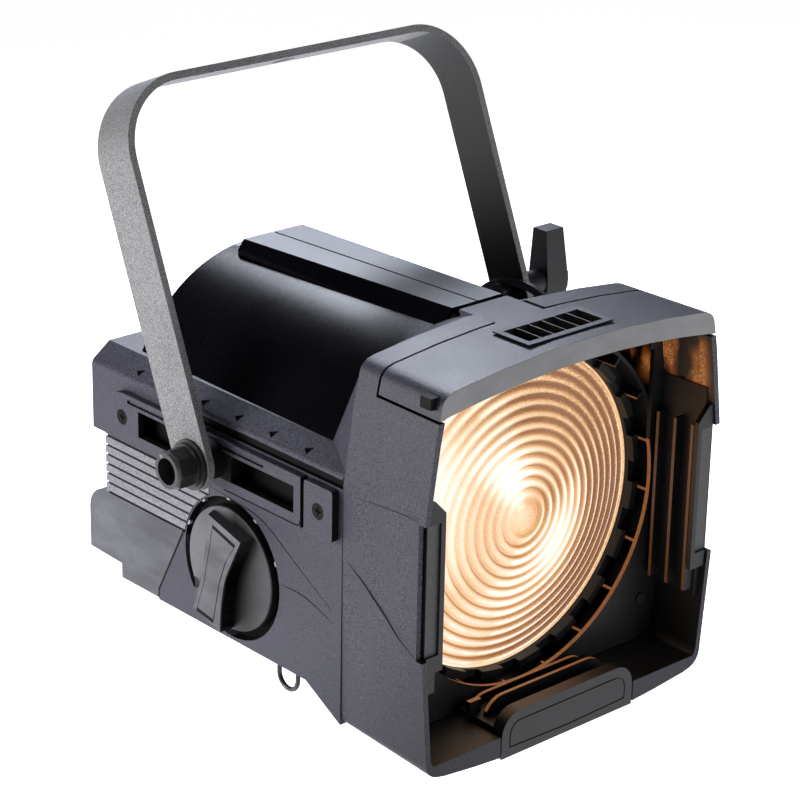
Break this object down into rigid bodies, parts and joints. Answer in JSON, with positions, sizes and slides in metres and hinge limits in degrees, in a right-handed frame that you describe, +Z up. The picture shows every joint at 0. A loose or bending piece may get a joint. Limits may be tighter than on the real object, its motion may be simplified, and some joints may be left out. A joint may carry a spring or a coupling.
{
  "type": "fresnel spotlight",
  "caption": "Fresnel stage spotlight: ringed lens in a deep hood with a hinged accessory lid, ribbed body with a focus knob, hung from a flat tilting yoke.",
  "frame": {"origin": "centre of the hanging hole in the outer top face of the yoke", "axes": "+X is to the right seen from the front, +Y points from the lens to the rear of the body, +Z is up with the body level"},
  "size_m": [0.2977, 0.276, 0.3206],
  "materials": {
    "body_paint": "fine speckled powder coat",
    "box_paint": "smooth powder coat with slight smudges",
    "cover_shell": "smooth satin black",
    "yoke_paint": "fine speckled powder coat",
    "inner_black": "matt heat-resistant black",
    "trim_black": "satin black",
    "knob_grey": "satin grey",
    "hardware": "zinc plated",
    "screw_black": "black oxide",
    "lens_glass": "pressed glass with concentric prisms",
    "bulb_glass": "clear quartz",
    "filament": "glowing tungsten coil",
    "reflector_metal": "polished",
    "inner_metal": "bare",
    "gear_brass": "machined",
    "ceramic": "unglazed ceramic",
    "gasket": "heat-resistant seal"
  },
  "bodies": {
    "yoke": {"yoke": "yoke_paint"},
    "tilt_carriage": {"slide_block_left": "trim_black", "slide_block_right": "trim_black", "pivot_bolt_left": "hardware", "pivot_bolt_right": "hardware", "spacer_left": "trim_black", "spacer_right": "trim_black", "tilt_quadrant": "screw_black", "pivot_nut_left": "trim_black", "pivot_nut_right": "screw_black"},
    "tilt_lock": {"tilt_lock_bolt": "screw_black", "tilt_lock_handle": "trim_black"},
    "lid": {"accessory_lid": "body_paint", "lid_hinge_leaf": "body_paint", "lid_grille": "trim_black", "latch_seat": "inner_metal"},
    "latch": {"lid_latch": "trim_black", "latch_spring": "hardware"},
    "focus_knob": {"focus_knob": "knob_grey", "knob_inlay": "knob_grey", "focus_shaft": "hardware", "focus_pinion": "gear_brass", "shaft_collar": "screw_black"},
    "lamp_carriage": {"lamp_carriage": "inner_metal", "rod_bushes": "gear_brass", "focus_rack": "gear_brass", "rack_screws": "hardware", "lamp_socket": "ceramic", "lamp_bulb": "bulb_glass", "lamp_filament": "filament", "reflector": "reflector_metal", "reflector_bracket": "inner_metal"},
    "housing": {"main_housing": "body_paint", "top_cover": "cover_shell", "front_hood": "body_paint", "burner_housing": "box_paint", "rear_cover": "body_paint", "rib_panel_left": "body_paint", "rib_panel_right": "body_paint", "rail_plate_left": "body_paint", "rail_plate_right": "body_paint", "rail_screws": "screw_black", "rear_cover_screws": "screw_black", "cable_gland": "trim_black", "wire_loop": "hardware", "hinge_bracket": "inner_metal", "lid_hinge_pin": "hardware", "lens_bulkhead": "inner_black", "bulkhead_screws": "screw_black", "lens_retainer": "inner_black", "fresnel_lens": "lens_glass", "lens_gasket": "gasket", "accessory_guide_left": "inner_black", "accessory_guide_right": "inner_black", "accessory_holder": "inner_black", "rod_bracket_front": "inner_metal", "rod_bracket_rear": "inner_metal", "guide_rods": "hardware"}
  },
  "joints": [
    {"name": "yoke_tilt", "type": "hinge", "parent": "yoke", "child": "tilt_carriage", "pos_m": [0, -0.07609, -0.1828], "axis": [1, 0, 0], "range_deg": [-56, 72]},
    {"name": "balance_slide", "type": "slide", "parent": "tilt_carriage", "child": "housing", "axis": [0, 1, 0], "range_m": [-0.015, 0.045]},
    {"name": "tilt_lock_turn", "type": "hinge", "parent": "yoke", "child": "tilt_lock", "pos_m": [0.13, -0.06026, -0.14476], "axis": [1, 0, 0], "range_deg": [-120, 120]},
    {"name": "lid_hinge", "type": "hinge", "parent": "housing", "child": "lid", "pos_m": [0, -0.16559, -0.1034], "axis": [1, 0, 0], "range_deg": [-95, 0]},
    {"name": "latch_press", "type": "slide", "parent": "lid", "child": "latch", "axis": [1, 0, 0], "range_m": [0, 0.0025], "stiffness_N_per_m": 300},
    {"name": "focus_turn", "type": "hinge", "parent": "housing", "child": "focus_knob", "pos_m": [-0.104, -0.08559, -0.2443], "axis": [1, 0, 0], "range_deg": [-150, 150]},
    {"name": "lamp_slide", "type": "slide", "parent": "housing", "child": "lamp_carriage", "axis": [0, 1, 0], "range_m": [-0.0296, 0.0296]}
  ],
  "couplings": [
    {"joint": "lamp_slide", "follows": "focus_turn", "m_per_rad": 0.01125}
  ]
}
